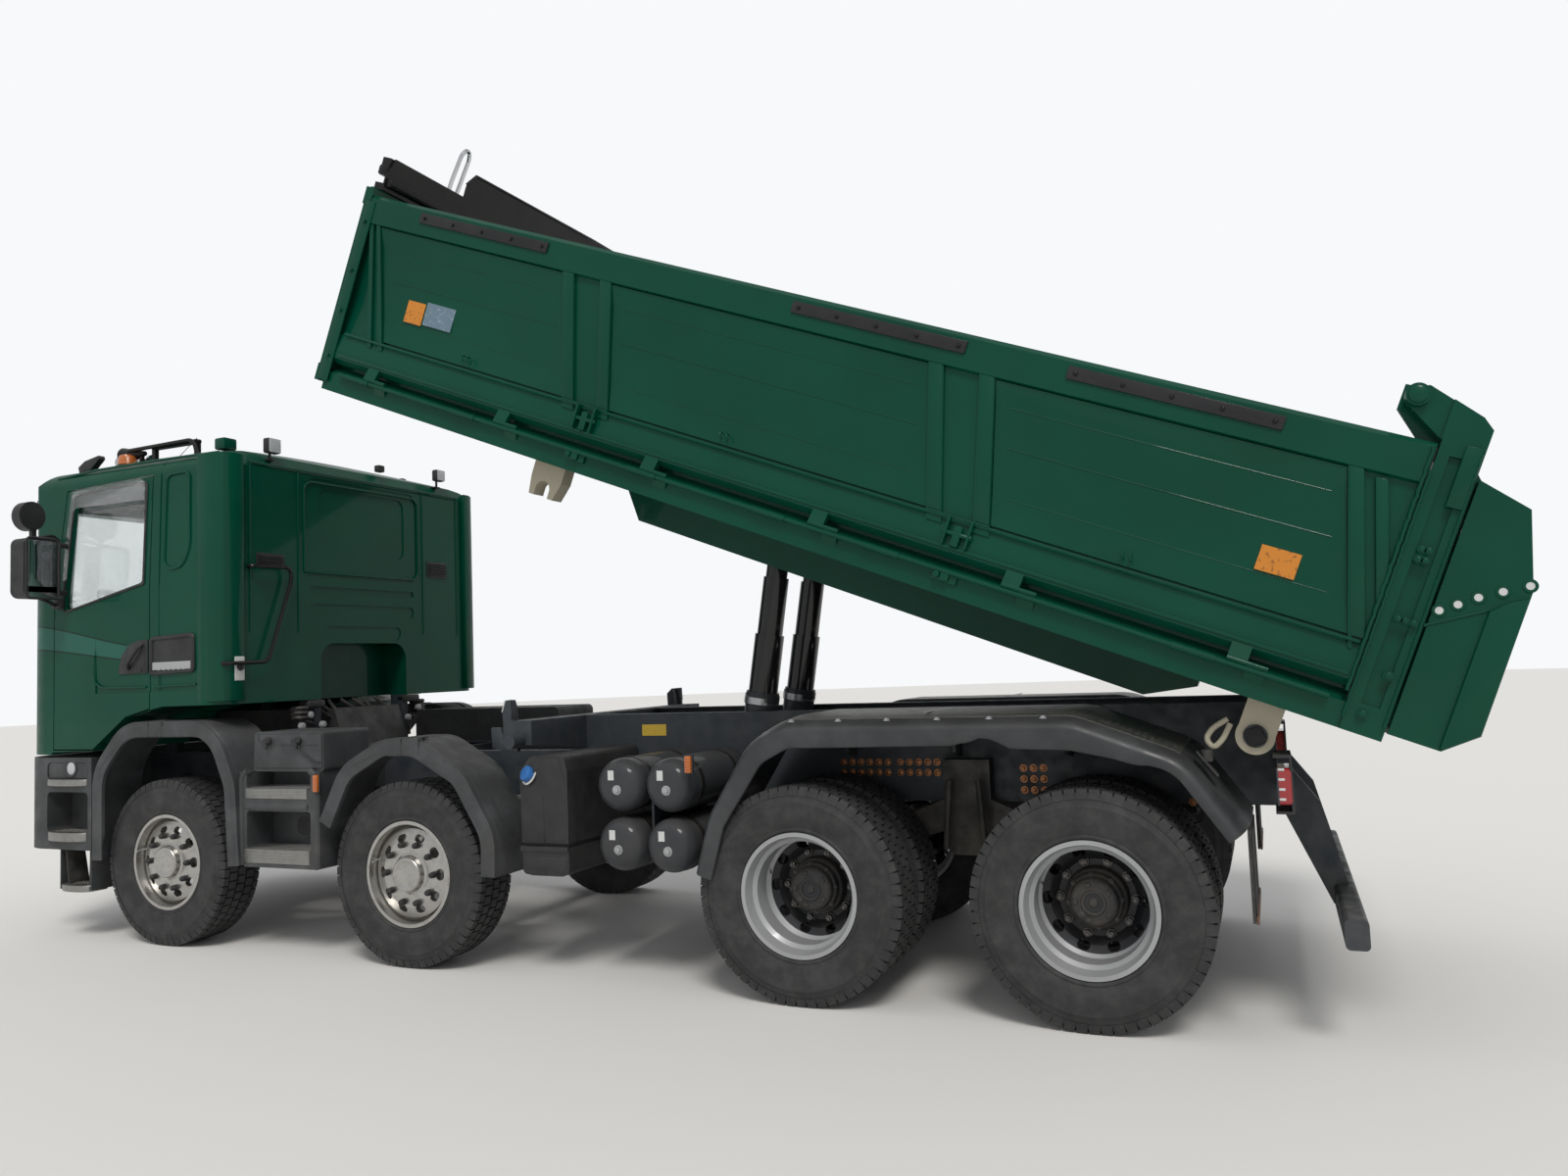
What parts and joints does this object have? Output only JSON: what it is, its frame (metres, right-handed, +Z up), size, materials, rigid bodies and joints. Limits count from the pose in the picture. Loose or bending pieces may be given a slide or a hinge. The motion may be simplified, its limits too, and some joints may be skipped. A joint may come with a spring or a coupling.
{
  "type": "four-axle tipper truck",
  "caption": "Rigid tipper truck with a short day cab, raised steel tipping body, drop sides, swinging tailgate, telescopic presses and steered twin front axles.",
  "frame": {"origin": "on the ground, midway between the bumper's front and the tailgate's rearmost edge, on the centre plane", "axes": "+X towards the cab, +Y to the driver's left, +Z up"},
  "size_m": [8.8574, 3.1, 4.81],
  "materials": {
    "frame_grey": "satin",
    "cab_green": "gloss",
    "body_green": "gloss",
    "grey_plastic": "satin",
    "black_plastic": "satin",
    "black_paint": "satin",
    "cast_iron": "matte",
    "cream_cast": "satin",
    "spring_steel": "matte",
    "glass": "gloss",
    "lamp_glass": "gloss",
    "tyre_rubber": "matte",
    "rubber": "matte",
    "alloy": "polished",
    "rim_steel": "satin",
    "press_black": "gloss",
    "fabric": "matte",
    "tank_grey": "satin"
  },
  "bodies": {
    "chassis": {"frame_rails": "frame_grey", "subframe": "frame_grey", "engine": "cast_iron", "front_bumper": "grey_plastic", "lamps": "lamp_glass", "axles": "cast_iron", "leaf_springs": "spring_steel", "front_fenders": "grey_plastic", "rear_fenders": "grey_plastic", "step_box": "grey_plastic", "side_tanks": "black_plastic", "air_tanks": "tank_grey", "tail_bar": "frame_grey", "mudflaps": "rubber", "cab_shell": "cab_green", "windscreen": "glass", "dashboard": "black_plastic", "seats": "fabric", "sun_visor": "black_plastic", "roof_fittings": "black_paint"},
    "steering_wheel": {"steering_wheel": "black_plastic"},
    "door_left": {"door_left": "cab_green", "door_glass_left": "glass", "mirror_left": "black_plastic"},
    "door_right": {"door_right": "cab_green", "door_glass_right": "glass", "mirror_right": "black_plastic"},
    "knuckle_1_left": {"knuckle_1_left": "cast_iron"},
    "wheel_1_left": {"tyre_1_left": "tyre_rubber", "rim_1_left": "alloy"},
    "knuckle_1_right": {"knuckle_1_right": "cast_iron"},
    "wheel_1_right": {"tyre_1_right": "tyre_rubber", "rim_1_right": "alloy"},
    "knuckle_2_left": {"knuckle_2_left": "cast_iron"},
    "wheel_2_left": {"tyre_2_left": "tyre_rubber", "rim_2_left": "alloy"},
    "knuckle_2_right": {"knuckle_2_right": "cast_iron"},
    "wheel_2_right": {"tyre_2_right": "tyre_rubber", "rim_2_right": "alloy"},
    "wheels_3_left": {"tyres_3_left": "tyre_rubber", "rims_3_left": "rim_steel"},
    "wheels_3_right": {"tyres_3_right": "tyre_rubber", "rims_3_right": "rim_steel"},
    "wheels_4_left": {"tyres_4_left": "tyre_rubber", "rims_4_left": "rim_steel"},
    "wheels_4_right": {"tyres_4_right": "tyre_rubber", "rims_4_right": "rim_steel"},
    "tipping_body": {"body_floor": "body_green", "pivot_cups": "cream_cast", "headboard": "body_green", "cab_guard": "black_paint", "rear_posts": "body_green"},
    "tailgate": {"tailgate": "body_green"},
    "side_wall_left": {"side_wall_left": "body_green"},
    "side_wall_right": {"side_wall_right": "body_green"},
    "press_barrels": {"press_barrels": "tank_grey"},
    "press_stage_1": {"press_stage_1": "press_black"},
    "press_stage_2": {"press_stage_2": "press_black"},
    "press_stage_3": {"press_stage_3": "press_black"}
  },
  "joints": [
    {"name": "door_left_hinge", "type": "hinge", "parent": "chassis", "child": "door_left", "pos_m": [3.95867, 1.216, 2.1], "axis": [0, 0, -1], "range_deg": [0, 70]},
    {"name": "door_right_hinge", "type": "hinge", "parent": "chassis", "child": "door_right", "pos_m": [3.95867, -1.216, 2.1], "axis": [0, 0, 1], "range_deg": [0, 70]},
    {"name": "steer_1_left", "type": "hinge", "parent": "chassis", "child": "knuckle_1_left", "pos_m": [2.97367, 0.85, 0.518], "axis": [0, 0, 1], "range_deg": [-33, 33]},
    {"name": "wheel_1_left_spin", "type": "hinge", "parent": "knuckle_1_left", "child": "wheel_1_left", "pos_m": [2.97367, 1.03, 0.518], "axis": [0, 1, 0], "continuous": true},
    {"name": "steer_1_right", "type": "hinge", "parent": "chassis", "child": "knuckle_1_right", "pos_m": [2.97367, -0.85, 0.518], "axis": [0, 0, 1], "range_deg": [-33, 33]},
    {"name": "wheel_1_right_spin", "type": "hinge", "parent": "knuckle_1_right", "child": "wheel_1_right", "pos_m": [2.97367, -1.03, 0.518], "axis": [0, 1, 0], "continuous": true},
    {"name": "steer_2_left", "type": "hinge", "parent": "chassis", "child": "knuckle_2_left", "pos_m": [1.03367, 0.85, 0.518], "axis": [0, 0, 1], "range_deg": [-21, 21]},
    {"name": "wheel_2_left_spin", "type": "hinge", "parent": "knuckle_2_left", "child": "wheel_2_left", "pos_m": [1.03367, 1.03, 0.518], "axis": [0, 1, 0], "continuous": true},
    {"name": "steer_2_right", "type": "hinge", "parent": "chassis", "child": "knuckle_2_right", "pos_m": [1.03367, -0.85, 0.518], "axis": [0, 0, 1], "range_deg": [-21, 21]},
    {"name": "wheel_2_right_spin", "type": "hinge", "parent": "knuckle_2_right", "child": "wheel_2_right", "pos_m": [1.03367, -1.03, 0.518], "axis": [0, 1, 0], "continuous": true},
    {"name": "wheels_3_left_spin", "type": "hinge", "parent": "chassis", "child": "wheels_3_left", "pos_m": [-1.37133, 0.9, 0.518], "axis": [0, 1, 0], "continuous": true},
    {"name": "wheels_3_right_spin", "type": "hinge", "parent": "chassis", "child": "wheels_3_right", "pos_m": [-1.37133, -0.9, 0.518], "axis": [0, 1, 0], "continuous": true},
    {"name": "wheels_4_left_spin", "type": "hinge", "parent": "chassis", "child": "wheels_4_left", "pos_m": [-2.72133, 0.9, 0.518], "axis": [0, 1, 0], "continuous": true},
    {"name": "wheels_4_right_spin", "type": "hinge", "parent": "chassis", "child": "wheels_4_right", "pos_m": [-2.72133, -0.9, 0.518], "axis": [0, 1, 0], "continuous": true},
    {"name": "steering_wheel_turn", "type": "hinge", "parent": "chassis", "child": "steering_wheel", "pos_m": [3.73867, 0.56, 2.18], "axis": [-0.5, 0, 0.866], "range_deg": [-500, 500]},
    {"name": "body_tilt", "type": "hinge", "parent": "chassis", "child": "tipping_body", "pos_m": [-3.42533, 0, 1.249], "axis": [0, -1, 0], "range_deg": [-21.32, 26]},
    {"name": "tailgate_swing", "type": "hinge", "parent": "tipping_body", "child": "tailgate", "pos_m": [-4.08834, 0, 2.56823], "axis": [0, 1, 0], "range_deg": [0, 60]},
    {"name": "side_wall_left_drop", "type": "hinge", "parent": "tipping_body", "child": "side_wall_left", "pos_m": [-1.19822, 1.286, 2.41878], "axis": [-0.9316, 0, -0.3636], "range_deg": [0, 175]},
    {"name": "side_wall_right_drop", "type": "hinge", "parent": "tipping_body", "child": "side_wall_right", "pos_m": [-1.19822, -1.286, 2.41878], "axis": [0.9316, 0, 0.3636], "range_deg": [0, 175]},
    {"name": "press_tilt", "type": "hinge", "parent": "chassis", "child": "press_barrels", "pos_m": [-0.73033, 0, 1], "axis": [0, -1, 0], "range_deg": [-11.83, 14.32]},
    {"name": "press_slide_1", "type": "slide", "parent": "press_barrels", "child": "press_stage_1", "axis": [-0.1665, 0, 0.986], "range_m": [-0.3228, 0.3934]},
    {"name": "press_slide_2", "type": "slide", "parent": "press_stage_1", "child": "press_stage_2", "axis": [-0.1665, 0, 0.986], "range_m": [-0.3228, 0.3934]},
    {"name": "press_slide_3", "type": "slide", "parent": "press_stage_2", "child": "press_stage_3", "axis": [-0.1665, 0, 0.986], "range_m": [-0.3228, 0.3934]}
  ],
  "couplings": [
    {"joint": "steer_1_right", "follows": "steer_1_left", "ratio": 1},
    {"joint": "steer_2_left", "follows": "steer_1_left", "ratio": 0.63},
    {"joint": "steer_2_right", "follows": "steer_1_left", "ratio": 0.63},
    {"joint": "steering_wheel_turn", "follows": "steer_1_left", "ratio": 14},
    {"joint": "press_tilt", "follows": "body_tilt", "ratio": 0.5315},
    {"joint": "press_slide_1", "follows": "body_tilt", "m_per_rad": 0.8648},
    {"joint": "press_slide_2", "follows": "body_tilt", "m_per_rad": 0.8648},
    {"joint": "press_slide_3", "follows": "body_tilt", "m_per_rad": 0.8648}
  ]
}
